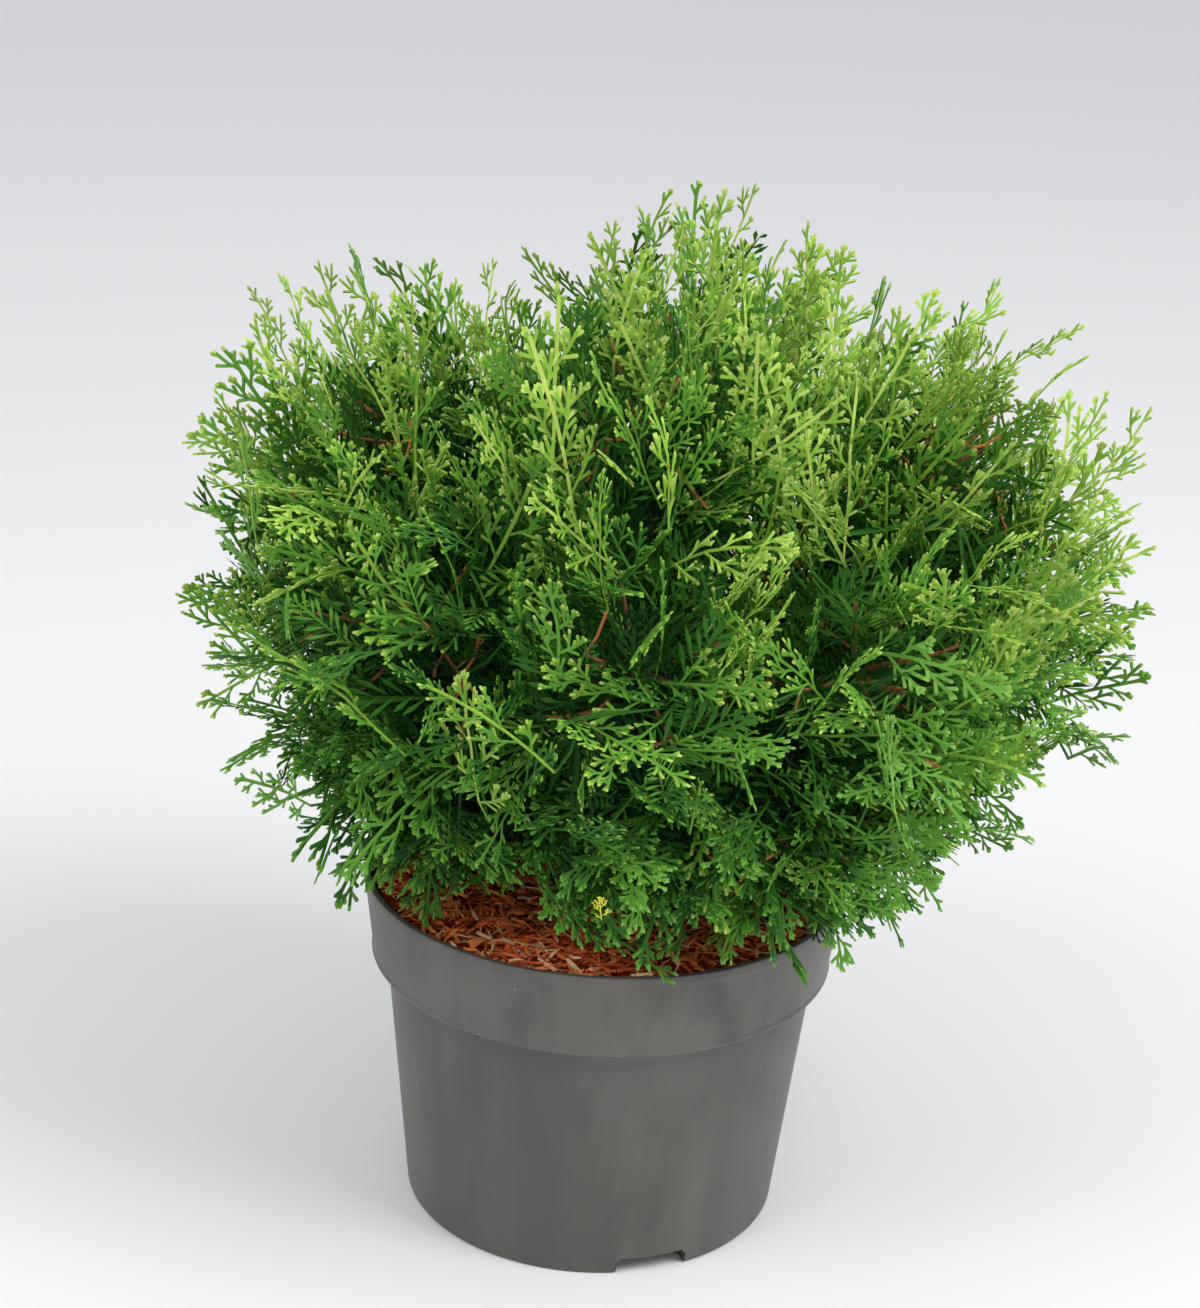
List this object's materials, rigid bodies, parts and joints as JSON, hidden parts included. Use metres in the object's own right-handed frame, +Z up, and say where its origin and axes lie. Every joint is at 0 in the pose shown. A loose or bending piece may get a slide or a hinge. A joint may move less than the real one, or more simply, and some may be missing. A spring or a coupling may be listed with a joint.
{
  "type": "potted eastern arborvitae",
  "caption": "Young globe-shaped evergreen shrub with dense flat scaly sprays, in a round grey nursery pot topped with shredded bark mulch.",
  "frame": {"origin": "centre of the pot's flat underside", "axes": "+Z up, -Y the front of the plant as pictured, +X its right side seen from the front"},
  "size_m": [0.4347, 0.3922, 0.4647],
  "materials": {
    "pot_plastic": "satin",
    "soil": "matte",
    "bark_mulch": "matte",
    "bark": "matte",
    "foliage": "satin"
  },
  "bodies": {
    "root": {"bough_low_back_left": "bark", "bough_low_back_right": "bark", "bough_low_front": "bark", "bough_low_front_left": "bark", "bough_low_front_right": "bark", "bough_low_left": "bark", "bough_low_right": "bark", "bough_side_back": "bark", "bough_side_back_left": "bark", "bough_side_back_right": "bark", "bough_side_front": "bark", "bough_side_front_left": "bark", "bough_side_front_right": "bark", "bough_side_left": "bark", "bough_side_right": "bark", "bough_top_back": "bark", "bough_top_front": "bark", "bough_top_left": "bark", "bough_top_right": "bark", "foliage_low_back_left": "foliage", "foliage_low_back_right": "foliage", "foliage_low_front": "foliage", "foliage_low_front_left": "foliage", "foliage_low_front_right": "foliage", "foliage_low_left": "foliage", "foliage_low_right": "foliage", "foliage_side_back": "foliage", "foliage_side_back_left": "foliage", "foliage_side_back_right": "foliage", "foliage_side_front": "foliage", "foliage_side_front_left": "foliage", "foliage_side_front_right": "foliage", "foliage_side_left": "foliage", "foliage_side_right": "foliage", "foliage_top_back": "foliage", "foliage_top_front": "foliage", "foliage_top_left": "foliage", "foliage_top_right": "foliage", "mulch": "bark_mulch", "pot": "pot_plastic", "root_ball": "soil", "stem": "bark"}
  },
  "joints": []
}
